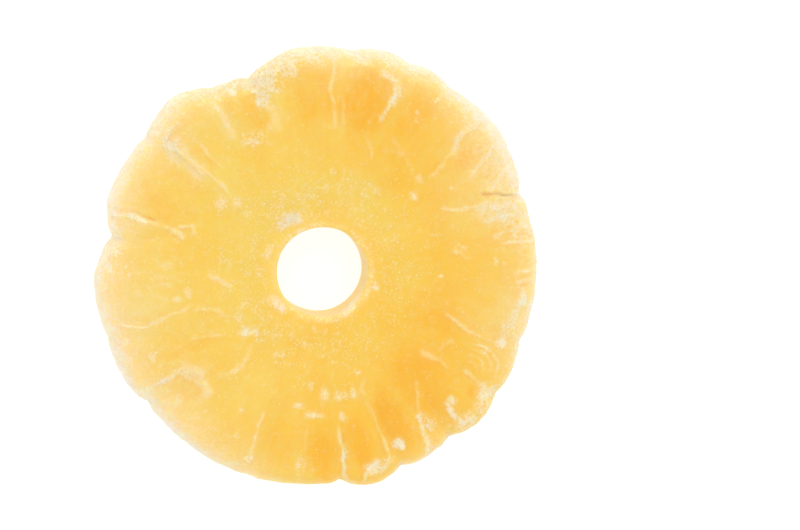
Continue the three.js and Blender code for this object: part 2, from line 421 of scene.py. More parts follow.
# %% Creases at the upper left
CREASES += [
    # width, height, frost, milk, flap, path
    (0.26, 0.20, 0.00, 0.75, 0.0, [(138.7, 29.3), (138.5, 27.1), (138.4, 25.1), (138.5, 23.2),
                                   (138.5, 21.6), (140.3, 19.1)]),
    (1.20, 0.15, 0.00, 0.85, 0.35, [(137.6, 34.3), (139.4, 31.5), (140, 28.4), (140, 24.6)]),
    (0.50, 0.15, 0.65, 0.40, 0.0, [(132.2, 34.7), (135.4, 35.1), (138.3, 34.7), (141.1, 32.8)]),
    (0.50, 0.30, 0.75, 1.00, -0.2, [(164.4, 37.2), (163.6, 34.7), (163.1, 32.7), (163.6, 30.2)]),
    (0.26, 0.20, 0.15, 0.60, 0.0, [(163.4, 31), (163.8, 28.7), (163.7, 26.4)]),
    # A shallow groove beside the ridge above; the glassy colour along it is painted shade.
    (0.25, -0.20, 0.00, 0.00, 0.0, [(162.6, 35.9), (161.8, 33.6), (162.1, 31), (162.5, 28.9)]),
    (0.30, 0.15, 0.40, 0.50, 0.0, [(167.3, 36.8), (166.2, 35.7), (165.1, 34.8)]),
    (0.36, 0.30, 0.30, 0.90, 0.0, [(163.3, 26.4), (164.8, 25), (166.5, 23.6)]),
    (0.26, 0.20, 0.20, 0.70, 0.0, [(162.7, 25.5), (161, 24.2), (159.6, 23), (162, 22.7), (163.5, 22)]),
]
print(len(CREASES), "creases so far")

# %% Creases at the left
CREASES += [
    # width, height, frost, milk, flap, path
    (0.26, 0.08, 0.20, 0.30, 0.0, [(187.6, 29.4), (188.9, 28.1), (190.7, 26.1)]),
    (0.24, 0.08, 0.20, 0.25, 0.0, [(182.7, 29.1), (181.5, 27.3), (182.1, 25.3), (184.4, 24)]),
    (0.24, 0.08, 0.20, 0.25, 0.0, [(184.8, 28.8), (184.2, 26.9), (186.6, 24.8)]),
    (0.34, 0.15, 0.50, 0.50, 0.0, [(180.4, 33.1), (180.3, 32.6), (180.1, 31.1), (180, 30.7)]),
    (0.26, 0.20, 0.10, 0.65, 0.3, [(194.2, 22.3), (196, 24.6), (196.1, 26.5), (197, 29), (197, 31.8),
                                   (195.9, 33.7), (194.2, 36)]),
    (0.26, 0.15, 0.15, 0.45, 0.0, [(196.4, 23.6), (198.9, 20.4), (201.2, 19.1), (206.1, 17.9), (209.8, 16.5),
                                   (216.5, 16.3), (221.7, 16.4)]),
    (0.24, 0.10, 0.20, 0.40, 0.0, [(210.9, 16.4), (206.1, 15.3), (203.5, 13.8)]),
    (0.36, 0.15, 0.20, 0.55, 0.0, [(181.2, 19.6), (185.3, 17.5), (189, 16.2), (192.8, 15.2)]),
    (0.30, 0.06, 0.10, 0.25, 0.0, [(207.7, 25.5), (209.9, 22.8), (215.4, 19.7)]),
]
print(len(CREASES), "creases so far")

# %% Creases at the lower left
CREASES += [
    # width, height, frost, milk, flap, path
    (0.50, 0.30, 0.65, 1.00, 0.2, [(214.4, 37.6), (214.6, 34.4), (215, 32.4), (215.2, 30)]),
    (0.85, 0.35, 0.30, 1.00, 0.3, [(215, 31.2), (215.8, 29.1), (218.9, 28.1), (223.3, 28), (226.7, 28.4),
                                   (230.4, 28.6)]),
    (0.50, 0.12, 0.32, 0.30, 0.0, [(226, 25.6), (228.9, 23.8), (231.3, 21.7), (230.9, 19.6), (228, 17.4)]),
    (0.28, 0.12, 0.20, 0.60, 0.0, [(222.2, 32.9), (222.6, 33.6), (223.3, 34.5)]),
    (0.27, 0.15, 0.15, 0.45, 0.0, [(248.9, 26.4), (248.7, 28.9), (249.2, 31.4), (249.5, 33.6),
                                   (249.6, 35.8)]),
]
print(len(CREASES), "creases so far")

# %% Creases at the bottom
CREASES += [
    # width, height, frost, milk, flap, path
    (0.30, 0.06, 0.10, 0.20, 0.0, [(266.1, 27.2), (265.5, 29.7), (265.5, 32.4)]),
    (0.28, 0.28, 0.20, 0.60, -0.35, [(277.4, 26.8), (277.1, 29.7), (277.3, 32.2), (277.3, 34.7),
                                     (277.3, 36.8), (278, 38.1), (280.1, 39), (282, 38.7),
                                     (282.9, 37.2), (285.1, 36.1), (289.4, 35.6)]),
    (0.34, 0.20, 0.50, 0.50, 0.0, [(276.9, 37.6), (277.2, 35.6), (277.3, 33.2), (277.2, 31.8)]),
    (0.36, 0.25, 0.26, 0.42, 0.0, [(290.5, 31.6), (290.4, 33.8), (290.2, 35.7), (288.6, 37.2)]),
    (0.30, 0.30, 0.15, 0.30, 0.0, [(290, 27.2), (290.4, 31.1), (290.4, 33.8), (290.2, 35.7), (288.6, 37.2)]),
    (0.28, 0.12, 0.10, 0.22, 0.0, [(289.3, 24.4), (289.5, 26.1), (290.1, 28.6)]),
    (0.32, 0.12, 0.10, 0.28, 0.0, [(293.1, 21.2), (289.7, 22.2), (289.3, 24.8)]),
    (0.26, 0.12, 0.15, 0.30, 0.0, [(310.9, 26.4), (307, 29.2), (303.7, 32.2)]),
    (0.55, 0.25, 0.60, 0.70, 0.0, [(304.3, 31), (302.4, 34.5), (301.3, 37.3), (299.8, 39.3)]),
]
print(len(CREASES), "creases so far")

# %% Creases at the lower right
CREASES += [
    # width, height, frost, milk, flap, path
    (0.50, 0.20, 0.80, 0.40, 0.0, [(314.6, 32.8), (312.3, 34.7), (312.1, 37), (312.9, 38.8)]),
    (0.42, 0.18, 0.10, 0.38, 0.0, [(319.7, 23), (321.1, 25.6), (321.8, 27.3), (321.6, 29.4)]),
    (0.32, 0.12, 0.10, 0.32, 0.0, [(324.6, 25.8), (328.1, 26.3), (331.5, 27.5)]),
    (0.35, 0.15, 0.30, 0.40, 0.0, [(324.3, 31.6), (324, 34.5), (323.7, 37.2)]),
    (0.24, 0.10, 0.30, 0.38, 0.0, [(332.8, 30.2), (333.9, 32.8), (333, 35), (331, 36.4), (328, 36.8)]),
    (0.22, 0.10, 0.30, 0.34, 0.0, [(331, 30.2), (332, 32.6), (331.5, 34.2), (329.8, 35.4), (327, 35.8)]),
    (0.22, 0.10, 0.30, 0.34, 0.0, [(329, 30.6), (330, 32.4), (329.4, 33.6), (328, 34.4), (325.8, 34.7)]),
    (0.22, 0.10, 0.30, 0.30, 0.0, [(327, 31.2), (327.8, 32.4), (326.6, 33.5), (325, 33.8)]),
    (0.27, 0.12, 0.15, 0.42, 0.2, [(340.1, 23.6), (337.9, 26.7), (336.4, 28.9), (336.6, 31.6),
                                   (336.4, 34.2)]),
]
print(len(CREASES), "creases so far")

# %% Creases at the right
CREASES += [
    # width, height, frost, milk, flap, path
    (0.60, 0.15, 0.45, 0.60, 0.0, [(354.6, 36.8), (350.1, 36.6), (345.9, 35.9), (341, 35.4)]),
    (0.35, 0.10, 0.35, 0.45, 0.0, [(359.4, 39), (358.2, 36.6), (357.9, 34.2)]),
    (0.35, 0.10, 0.35, 0.45, 0.0, [(355, 39.2), (356, 37), (354.5, 34.9)]),
    (0.30, 0.12, 0.40, 0.40, 0.0, [(6.2, 23.8), (4.5, 25.7), (2, 26.7)]),
    (0.32, 0.10, 0.30, 0.50, 0.0, [(12.7, 38.6), (14.9, 34.2), (14.6, 29.6)]),
    (0.32, 0.10, 0.30, 0.50, 0.0, [(10, 38.6), (10.7, 34.9), (8, 30.6)]),
    (0.30, 0.10, 0.30, 0.50, 0.0, [(5.5, 38.8), (6.8, 35.9), (6.4, 32.2)]),
]
print(len(CREASES), "creases in all")

# %% [markdown]
# A path of a few points is turned into a smooth line first, with the Catmull-Rom rule: each stretch
# bends towards its neighbours. A little noise makes the line waver, as a skin does. Then every point of
# the face looks for its nearest place on the line. How far away it is, and on which side, tells how much
# it rises.

# %% Smooth the paths and measure from them
WAVER_SIZE = 1.1


def on_the_face(degrees, radius):
    at = np.radians(degrees)
    return FAN_CENTRE + np.stack([radius * np.cos(at), radius * np.sin(at)], axis=-1)


def smooth_path(path, steps=6, waver=0.17):
    corners = on_the_face(*np.array(path, float).T)
    ends = np.vstack([2 * corners[0] - corners[1], corners, 2 * corners[-1] - corners[-2]])
    part = np.arange(steps)[:, None] / steps
    stretches = []
    for a, b, c, d in zip(ends, ends[1:], ends[2:], ends[3:]):
        bend = 2 * b + (c - a) * part + (2 * a - 5 * b + 4 * c - d) * part**2
        stretches.append((bend + (3 * b - a - 3 * c + d) * part**3) / 2)
    line = np.vstack([*stretches, corners[-1:]])
    flat = np.column_stack([line, np.zeros(len(line))])
    shake = np.column_stack([noise(flat, WAVER_SIZE, seed=31), noise(flat, WAVER_SIZE, seed=32)])
    return line + waver * shake


def nearest_on_line(at, line):
    gap = np.full(len(at), np.inf)
    side = np.ones(len(at))
    along = np.zeros(len(at))
    for number, (a, b) in enumerate(zip(line, line[1:])):
        stretch = b - a
        part = np.clip((at - a) @ stretch / (stretch @ stretch), 0, 1)
        off = at - a - part[:, None] * stretch
        distance = np.hypot(*off.T)
        closer = distance < gap
        gap[closer] = distance[closer]
        side[closer] = np.sign(stretch[0] * off[closer, 1] - stretch[1] * off[closer, 0])
        along[closer] = (number + part[closer]) / (len(line) - 1)
    return gap, side, along


print("the first crease becomes a line of", len(smooth_path(CREASES[0][-1])), "points")

# %% Find the flesh beside a crease
CREASE_REACH = 4.0
TAPER_IN = (0, 0.1)
TAPER_OUT = (0.85, 1)
BREADTH_SIZE = 1.8
BREADTH_SWING = 0.6
breadth = noise(flat_points, BREADTH_SIZE, seed=43)


def beside_the_crease(path, width):
    line = smooth_path(path)
    close = (flat_points[:, :2] > line.min(0) - CREASE_REACH).all(1)
    close &= (flat_points[:, :2] < line.max(0) + CREASE_REACH).all(1) & (upper > 0)
    near = np.flatnonzero(close)
    gap, side, along = nearest_on_line(flat_points[near, :2], line)
    taper = smoothstep(along, *TAPER_IN) * (1 - smoothstep(along, *TAPER_OUT)) * upper[near]
    return near, gap, side, taper, width * (1 + BREADTH_SWING * breadth[near])


print("a crease is looked for up to", CREASE_REACH, "mm away")

# %% [markdown]
# Each crease then leaves four marks. Its skin is a smooth bump over the line, and a flap adds a step that
# fades away on one side. Frost and milk lie on the skin, with a thin veil round it, and are broken up by
# noise. Close beside a milky skin, on the side away from a flap's raised step, painted shade is mixed into
# the colour as glassy flesh, and so it is along a groove or slit.

# %% Strengths of the marks
FLAP_REACH = 2.2
CREST_SHARE = 0.6
LUMP_SIZE = 0.9
LUMP_SWING = 0.45
FROST_ON_MILK = 0.36
FROST_ON_SKIN = 0.7
FROST_IN_VEIL = 0.3
MILK_SHARE = 0.85
MOST_MILK = 0.5
VEIL_SPREAD = 2.8
VEIL_SHARE = 0.22
SHADE_PLACE = 1.8
SHADE_SHARE = 0.32
FLAP_SHADE = 0.5
BREAK_EVEN = 0.9
BREAK_SWING = 0.8
BREAK_SIZE = 1.3
BREAK_RANGE = (0.25, 1.3)

lumps = layered(flat_points, LUMP_SIZE, seed=41)
broken = np.clip(BREAK_EVEN + BREAK_SWING * layered(flat_points, BREAK_SIZE, seed=45), *BREAK_RANGE)
print("marks are between", broken.min().round(2), "and", broken.max().round(2), "of their strength")

# %% Raise the creases
rise, crease_frost, crease_milk, painted_crease_shade = np.zeros((4, len(flat_points)))
for width, crest, frosty, milky, flap, path in CREASES:
    near, gap, side, taper, wide = beside_the_crease(path, width)
    skin = np.exp(-((gap / wide) ** 2))
    flat_skin = np.exp(-((gap / wide) ** 4))
    veil = np.exp(-((gap / (VEIL_SPREAD * wide)) ** 2))
    fold = (gap * side * np.sign(flap) > 0) * np.exp(-gap / FLAP_REACH) if flap else 0
    rise[near] += CREST_SHARE * taper * (1 + LUMP_SWING * lumps[near]) * (crest * skin + abs(flap) * fold)
    strength = taper * broken[near]
    frosty = max(frosty, FROST_ON_MILK * milky)
    frost_here = frosty * strength * (FROST_ON_SKIN * skin + FROST_IN_VEIL * veil)
    crease_frost[near] = np.maximum(crease_frost[near], frost_here)
    milk_here = MILK_SHARE * milky * strength * ((1 - VEIL_SHARE) * flat_skin + VEIL_SHARE * veil)
    crease_milk[near] = np.maximum(crease_milk[near], np.minimum(milk_here, MOST_MILK))
    beside = np.exp(-((gap / wide - SHADE_PLACE) ** 2)) * (side * np.sign(flap or 1) < 0)
    # Painted shade: glassy colour on one side of a milky skin and along a groove or slit.
    shade = taper * ((crest < 0) * skin + (SHADE_SHARE + FLAP_SHADE * abs(flap)) * milky * beside)
    painted_crease_shade[near] = np.maximum(painted_crease_shade[near], shade)
print("the creases rise up to", rise.max().round(2), "mm and sink", rise.min().round(2), "mm")

# %% [markdown]
# ## Frost, milk, clouds and depth of colour
# Sugar dries to a grainy white frost where syrup ran together: along the rim, in the creases and in
# spots. Dried skins are pale too, but smooth, like milk. Under the surface, cloudy flesh is paler, and
# glassy flesh, where light goes deep, is more orange. Each of the four is a field: one number for every
# point of the mesh, stored as an attribute that the material reads. The cloud also holds a painted glow
# at the thin edge of the rim, and the glassy flesh holds painted shade beside the creases and in one
# patch low at the bottom of the rim. A rim table gives how wide and how strong the frost and the milk
# are round the ring. Patches are soft spots: a place, a half length outwards, a half width across, and
# strengths.

# %% Table of the rim
RIM_COLUMNS = ("angle", "frost_width", "frost", "milk_width", "milk")
RIM_ROWS = np.array([
    (0, 2.8, 0.45, 5.2, 0.55), (10, 3.5, 0.40, 6.4, 0.62), (20, 3.6, 0.40, 6.6, 0.82),
    (30, 2.4, 0.36, 6.8, 1.05), (40, 2.8, 0.38, 5.0, 1.05), (50, 3.2, 0.45, 3.2, 1.05),
    (60, 3.4, 0.60, 2.7, 1.00), (70, 3.4, 0.68, 2.4, 0.97), (80, 3.0, 0.66, 2.7, 0.93),
    (90, 3.0, 0.70, 2.7, 0.88), (98, 4.2, 0.75, 2.7, 0.55), (106, 5.2, 0.76, 2.2, 0.40),
    (113, 3.4, 0.72, 2.2, 0.42), (122, 3.0, 0.70, 2.8, 0.58), (132, 2.6, 0.55, 3.9, 0.97),
    (140, 2.0, 0.36, 3.4, 0.96), (150, 1.8, 0.30, 3.5, 0.94), (160, 1.8, 0.32, 3.7, 1.00),
    (170, 2.2, 0.40, 4.2, 0.86), (180, 1.8, 0.32, 4.6, 0.90), (190, 1.8, 0.30, 6.4, 0.92),
    (200, 1.8, 0.32, 5.5, 0.90), (210, 2.0, 0.40, 4.2, 1.00), (220, 2.2, 0.45, 4.6, 1.03),
    (230, 2.6, 0.50, 4.4, 1.08), (240, 2.4, 0.45, 4.2, 0.88), (250, 1.8, 0.38, 3.6, 0.78),
    (260, 1.2, 0.26, 2.2, 0.22), (270, 1.0, 0.12, 2.0, 0.00), (280, 1.2, 0.20, 2.0, 0.00),
    (290, 1.8, 0.36, 3.0, 0.10), (300, 2.4, 0.46, 2.8, 0.42), (310, 3.0, 0.50, 2.8, 0.24),
    (320, 3.2, 0.50, 3.0, 0.26), (330, 3.0, 0.46, 3.6, 0.36), (340, 3.2, 0.42, 6.2, 0.84),
    (350, 3.2, 0.42, 5.6, 0.78),
])
RIM = dict(zip(RIM_COLUMNS, RIM_ROWS.T))
print(len(RIM_ROWS), "places round the rim")

# %% Pale patches, from the right to the top
PALE_PATCHES = [
    # angle, radius, half length, half width, frost, milk
    (16.5, 34.8, 3.6, 2.6, 0.42, 0.95), (18, 31.6, 2.8, 2.0, 0.35, 0.7), (10.3, 36.4, 2.4, 3.0, 0.4, 0.6),
    (14.4, 21.7, 0.9, 0.8, 0.3, 0.1), (7.9, 25.5, 1.3, 1.3, 0.3, 0.1), (1.3, 31.4, 0.35, 0.8, 0.5, 0.7),
    (0.6, 33, 0.4, 0.4, 0.4, 0.4), (30.6, 27.1, 0.4, 0.4, 0.5, 0.4), (36.3, 20.9, 0.5, 0.9, 0.4, 0.7),
    (40.9, 23.5, 0.6, 0.8, 0.3, 0.6), (55.1, 39, 1.2, 3.5, 0.2, 0.7), (54.5, 35.7, 0.7, 0.4, 0.5, 0.7),
    (57.5, 32.2, 0.4, 0.4, 0.4, 0.3), (55.8, 31.1, 1.1, 1.0, 0.28, 0.1), (51.8, 17, 0.7, 0.7, 0.4, 0.3),
    (56.3, 12, 0.5, 0.5, 0.4, 0.3), (77.9, 37.2, 0.9, 1.7, 0.3, 1.0), (78.9, 34.9, 1.6, 1.5, 0.1, 0.35),
    (83.4, 14, 0.6, 0.7, 0.5, 0.3), (75.6, 14.2, 0.5, 0.5, 0.4, 0.15), (80.6, 16.9, 1.0, 0.5, 0.4, 0.1),
    (99, 35.5, 2.5, 2.2, 0.7, 0.2), (106.4, 33.7, 2.6, 3.2, 0.8, 0.3), (107.8, 31.1, 1.8, 1.5, 0.75, 0.4),
    (113.4, 35.1, 0.9, 0.8, 0.7, 0.8), (115.7, 34.3, 1.1, 1.0, 0.7, 0.6), (116.7, 25.2, 1.2, 2.2, 0.5, 0.1),
    (122.7, 36.4, 0.8, 0.6, 0.6, 1.0),
]
print(len(PALE_PATCHES), "pale patches so far")

# %% Pale patches at the left
PALE_PATCHES += [
    # angle, radius, half length, half width, frost, milk
    (139.4, 33.4, 1.9, 0.9, 0.75, 0.35), (139.4, 18.4, 0.9, 0.9, 0.5, 0.4),
    (145.7, 20.5, 1.3, 1.6, 0.55, 0.15),
    (171.9, 33.6, 1.1, 0.9, 0.2, 0.6), (173.5, 34.8, 1.0, 1.5, 0.6, 0.8), (179.4, 36.1, 0.5, 0.45, 0.6, 0.6),
    (178.1, 33.3, 0.4, 0.4, 0.5, 0.4), (177.7, 26.2, 1.2, 0.7, 0.1, 0.45), (190.9, 25, 0.8, 0.6, 0.35, 0.7),
    (189.3, 22.9, 0.6, 1.1, 0.2, 0.75), (192.1, 31.7, 2.8, 1.5, 0.0, 0.5), (194.1, 35, 1.6, 1.2, 0.3, 0.75),
    (199.6, 35.4, 0.6, 0.5, 0.4, 0.6), (206.7, 32.2, 1.1, 1.1, 0.55, 0.15), (220.2, 16.8, 0.8, 0.9, 0.7, 0.8),
    (224.9, 15.6, 0.7, 0.8, 0.5, 0.6), (228.9, 35, 1.1, 0.8, 0.3, 0.45), (230.9, 31.3, 0.4, 0.4, 0.4, 0.6),
    (241, 28.1, 0.5, 0.5, 0.4, 0.4), (243.3, 32.4, 0.6, 0.5, 0.4, 0.4), (243.7, 16.8, 0.5, 0.4, 0.4, 0.7),
    (247.7, 16.4, 0.5, 0.4, 0.6, 0.3), (249.5, 35.6, 1.1, 0.8, 0.6, 0.6),
]
print(len(PALE_PATCHES), "pale patches so far")

# %% Pale patches from the bottom to the right, and round the hole
PALE_PATCHES += [
    # angle, radius, half length, half width, frost, milk
    (261.4, 24.3, 0.5, 1.1, 0.55, 0.6), (264.6, 35.3, 2.0, 1.0, 0.45, 0.2), (266.2, 20.7, 0.8, 0.5, 0.3, 0.5),
    (267, 25.7, 0.65, 1.2, 0.55, 0.6), (270.5, 25.9, 0.4, 0.9, 0.4, 0.5), (272.6, 22.3, 1.2, 0.8, 0.5, 0.6),
    (278.6, 22.8, 1.0, 0.7, 0.5, 0.55), (282, 22.9, 0.8, 0.5, 0.45, 0.4), (285.3, 23.2, 0.9, 0.7, 0.55, 0.6),
    (278.7, 26.5, 0.7, 0.6, 0.3, 0.7), (278, 33, 1.3, 0.6, 0.5, 0.4), (286.4, 36.7, 1.2, 2.4, 0.65, 0.45),
    (290.4, 19.7, 0.3, 0.6, 0.6, 0.5), (294.3, 34.5, 1.0, 0.95, 0.9, 1.0),
    (300.4, 38.3, 1.0, 0.7, 0.6, 0.7), (305.5, 34, 1.5, 1.1, 0.55, 0.2), (314.6, 33.7, 1.0, 0.9, 0.65, 0.4),
    (313.3, 38.5, 1.7, 2.4, 0.56, 0.4), (320, 38.5, 1.6, 2.4, 0.54, 0.4), (322.8, 37.7, 1.8, 2.1, 0.58, 0.55),
    (337, 35.4, 1.0, 1.1, 0.8, 1.0), (338.1, 38.3, 1.0, 1.7, 0.62, 0.55), (341, 36, 1.6, 1.9, 0.5, 0.6),
    (345.5, 35.9, 0.9, 1.7, 0.5, 0.6), (350.5, 36.8, 0.9, 1.0, 0.75, 0.9), (355.2, 21.7, 0.5, 0.4, 0.5, 0.3),
    # round the hole
    (120, 9.9, 1.2, 2.2, 0.9, 0.5), (113.7, 8.7, 0.5, 1.4, 0.4, 0.9), (160.2, 9, 0.6, 1.2, 0.45, 0.8),
    (221.2, 9.2, 0.8, 1.7, 0.5, 0.9), (249.2, 12.5, 0.7, 0.4, 0.4, 0.4), (286.1, 14, 0.4, 0.4, 0.5, 0.4),
    (313.9, 8.8, 0.8, 2.0, 0.75, 1.0), (341.4, 10.7, 1.0, 1.0, 0.6, 0.15),
]
print(len(PALE_PATCHES), "pale patches in all")

# %% Cloudy, glassy and clean patches, and one of painted shade
CLOUD_PATCHES = [
    # angle, radius, half length, half width, strength
    (190, 31.0, 6.0, 3.0, 0.75), (200, 34.0, 4.0, 4.0, 0.5), (180, 27.0, 4.0, 2.5, 0.6),
    (105, 29.0, 4.5, 2.2, 0.6), (122, 31.0, 6.0, 1.8, 0.7), (140, 29.0, 6.5, 2.0, 0.8),
    (240, 24.0, 5.0, 5.0, 0.7), (262, 29.0, 6.0, 2.5, 0.35), (20, 30.0, 6.0, 4.5, 0.6),
    (150, 37.0, 3.5, 9.0, 0.5), (135, 23.0, 4.0, 4.0, 0.4), (225, 34.0, 5.0, 4.0, 0.4),
    (347, 35.0, 3.0, 5.0, 0.6), (205, 25.0, 5.0, 3.0, 0.25), (352, 19.0, 5.0, 4.0, 0.3),
    (87, 22.0, 5.0, 5.0, 0.2), (45, 13.0, 5.0, 9.0, 0.6), (105, 13.0, 4.0, 6.0, 0.25),
]
GLASSY_AND_SHADE_PATCHES = [
    # angle, radius, half length, half width, strength
    (75, 30.4, 7.5, 4.6, 0.85), (111, 31, 5.5, 2.8, 0.62), (91, 29.5, 7.0, 5.0, 0.5),
    (157, 29.5, 5.5, 3.5, 0.55), (341, 21.5, 6.0, 5.0, 0.4), (312, 26.5, 8.0, 5.5, 0.5),
    # The patch at 272 degrees is painted shade: it darkens the flesh low on the rim at the bottom, where the
    # face turns from the light.
    (272, 33.5, 6.0, 4.0, 0.4), (283, 32.5, 5.5, 2.2, 0.65), (296, 30.0, 6.0, 3.0, 0.7),
    (36, 33.0, 3.5, 1.7, 0.8), (28.5, 34.0, 2.0, 0.9, 0.7), (222, 31.5, 3.0, 2.0, 0.6),
    (58, 31.5, 6.0, 3.0, 0.55), (135, 28.5, 4.5, 1.2, 0.4), (256, 33.0, 4.0, 2.6, 0.2),
    (175, 31.5, 3.5, 2.0, 0.15), (208, 28.0, 6.0, 3.4, 0.55), (320.5, 35.5, 1.6, 1.4, 0.7),
    (255, 13.5, 5.0, 9.0, 0.25), (318, 13.5, 5.0, 7.0, 0.25),
]
CLEAN_PATCHES = [
    # angle, radius, half length, half width, strength
    (92, 28.0, 9.0, 7.0, 1.0), (250, 28.5, 8.0, 5.5, 0.9), (320, 25.0, 8.0, 8.0, 0.8),
    (62, 28.0, 8.0, 8.0, 0.7), (285, 30.0, 6.0, 5.0, 0.7), (35, 29.0, 5.0, 4.0, 0.6),
    (345, 27.0, 9.0, 5.0, 0.6), (157, 29.0, 5.0, 3.0, 0.4),
]
print(len(CLOUD_PATCHES), "cloudy,", len(GLASSY_AND_SHADE_PATCHES), "glassy,", len(CLEAN_PATCHES), "clean patches")

# %% [markdown]
# Two sorts of noise break the fields up. One is the same in all directions. The other is measured round
# the ring and outwards, on a much longer scale outwards, so that it makes streaks like the fibres, which
# all run from the core to the rim.

# %% Noise for the fields
RAGGED_SIZE = 3.2
GRAINY_SIZE = 0.9
STREAK_RADIUS = 9
STREAK_STRETCH = 14
STREAK_SIZE = 0.55
FINGER_SIZE = 0.9

ragged_edge = layered(flat_points, RAGGED_SIZE, seed=51)
grainy = layered(flat_points, GRAINY_SIZE, seed=55, layers=2)
round_and_out = np.column_stack([
    STREAK_RADIUS * np.cos(turn).ravel(),
    STREAK_RADIUS * np.sin(turn).ravel(),
    np.hypot(*flat_points[:, :2].T) / STREAK_STRETCH,
])
streaks = layered(round_and_out, STREAK_SIZE, seed=61)
fingers = layered(round_and_out, FINGER_SIZE, seed=65, layers=2)
print("streaks run from", streaks.min().round(2), "to", streaks.max().round(2))

# %% Read the rim and lay the patches
PATCH_EDGE = (0.35, 1.35)


def round_the_rim(name):
    return np.interp(point_angle, RIM["angle"], RIM[name], period=360)


def lay_patches(patches, at, ragged, strength, growth=1.0):
    laid = np.zeros(len(at))
    for degrees, radius, half_length, half_width, *strengths in patches:
        out = np.array([np.cos(radians(degrees)), np.sin(radians(degrees))])
        off = (at[:, :2] - on_the_face(degrees, radius)) / growth
        lengthwise = off @ out / half_length
        crosswise = (off[:, 1] * out[0] - off[:, 0] * out[1]) / half_width
        spread = np.hypot(lengthwise, crosswise) + ragged
        laid = np.maximum(laid, strengths[strength] * (1 - smoothstep(spread, *PATCH_EDGE)))
    return laid


from_middle = flat_points[:, :2] - FAN_CENTRE
point_angle = np.degrees(np.arctan2(from_middle[:, 1], from_middle[:, 0])) % 360
inset = (reach * (1 - plain_radius / RIM_RADIUS)).ravel()
print("points lie up to", inset.max().round(1), "mm in from the rim")

# %% [markdown]
# The fields need to know which part of the slice a point is on: near the hub, on its paler left side, on
# the hole's wall or low down on the rim. Each part is a soft mask, a number from 0 to 1 that fades over
# the two distances given for its edge, so that no finish ever stops at a hard line.

# %% Masks for the parts of the slice
HUB_EDGE = (14, 23)
PALE_TOWARDS = (-0.95, 0.3)
PALE_EDGE = (-18, 34)
HOLE_EDGE = (8.5, 10)
HOLE_HEIGHTS = (3, 7)
INSIDE_EDGE = (7.9, 8.4)
LIP_STARTS = (7.8, 8.1)
LIP_ENDS = (8.6, 9.6)
LOW_HEIGHTS = (2, 6.5)

near_hub = 1 - smoothstep(np.hypot(*flat_points[:, :2].T), *HUB_EDGE)
towards_pale = PALE_TOWARDS[0] * flat_points[:, 0] + PALE_TOWARDS[1] * flat_points[:, 1]
paler_side = smoothstep(towards_pale, *PALE_EDGE)
at_hole_wall = np.tile(1 - smoothstep(plain_radius, *HOLE_EDGE), columns)
inside_the_hole = np.tile(1 - smoothstep(plain_radius, *INSIDE_EDGE), columns)
hole_lip = smoothstep(plain_radius, *LIP_STARTS) * (1 - smoothstep(plain_radius, *LIP_ENDS))
hole_lip = np.tile(hole_lip, columns)
low_on_the_wall = 1 - smoothstep(flat_points[:, 2], *LOW_HEIGHTS)
painted = np.maximum(upper, at_hole_wall * smoothstep(flat_points[:, 2], *HOLE_HEIGHTS))
print("patches can lie on", round(100 * float((painted > 0.5).mean())), "% of the points")

# %% Frost along the rim
BAND_EDGE = (0.3, 1.15)
BAND_RAGGED = 0.45
BAND_FINGERS = 0.45
FROST_EVEN = 0.85
FROST_GRAINY = 0.5
FROST_RAGGED = 0.3
LESS_LOW_DOWN = 0.6

band = inset / round_the_rim("frost_width") + BAND_RAGGED * ragged_edge + BAND_FINGERS * fingers
rim_band = 1 - smoothstep(band, *BAND_EDGE)
frost = round_the_rim("frost") * rim_band
frost *= FROST_EVEN + FROST_GRAINY * grainy + FROST_RAGGED * ragged_edge
frost *= 1 - LESS_LOW_DOWN * low_on_the_wall
print("the rim's frost reaches", frost.max().round(2))

# %% Frost in spots and in the creases
PATCH_GROWTH = 1.2
SPOT_GRAINY = 0.4
CREASE_GRAINY = 0.3

spot_edge = SPOT_GRAINY * grainy
sugary_spots = lay_patches(PALE_PATCHES, flat_points, spot_edge, strength=0, growth=PATCH_GROWTH)
frost = np.maximum(frost, painted * sugary_spots)
frost = np.maximum(frost, crease_frost * (1 + CREASE_GRAINY * grainy))
print("the frost in the creases reaches", crease_frost.max().round(2))

# %% Frost in clumps round the hole
CLUMP_EVEN = 0.85
LARGE_CLUMPS = {"size": 2.6, "swing": 0.4}
SMALL_CLUMPS = {"size": 1.0, "swing": 0.35}
CLUMP_RAGGED = 0.5
MOST_CLUMPED = 1.6
LIP_FROST = 0.4
WALL_FROST = 1.3

clumps = CLUMP_EVEN + LARGE_CLUMPS["swing"] * noise(flat_points, LARGE_CLUMPS["size"], seed=101)
clumps += SMALL_CLUMPS["swing"] * noise(flat_points, SMALL_CLUMPS["size"], seed=102)
sugared_hole = np.maximum(hole_lip, WALL_FROST * inside_the_hole)
sugared_hole = painted * LIP_FROST * sugared_hole
sugared_hole *= np.clip(clumps + CLUMP_RAGGED * ragged_edge, 0, MOST_CLUMPED)
frost = np.maximum(frost, sugared_hole)
print("the frost round the hole reaches", sugared_hole.max().round(2))

# %% A dusting over the rest
DUSTING = 0.06
SIDE_DUSTING = 0.12
HUB_DUSTING = 0.22
MOST_DUSTED = 1.4
CLEAN_RAGGED = 0.3
UNDER_SIZE = 4.5
UNDER_GRAINY = 0.3
UNDER_EDGE = (0.0, 0.5)
WALL_CLUMPS = 0.75
LESS_IN_THE_HOLE = 0.6
WELL_FROSTED = 0.4

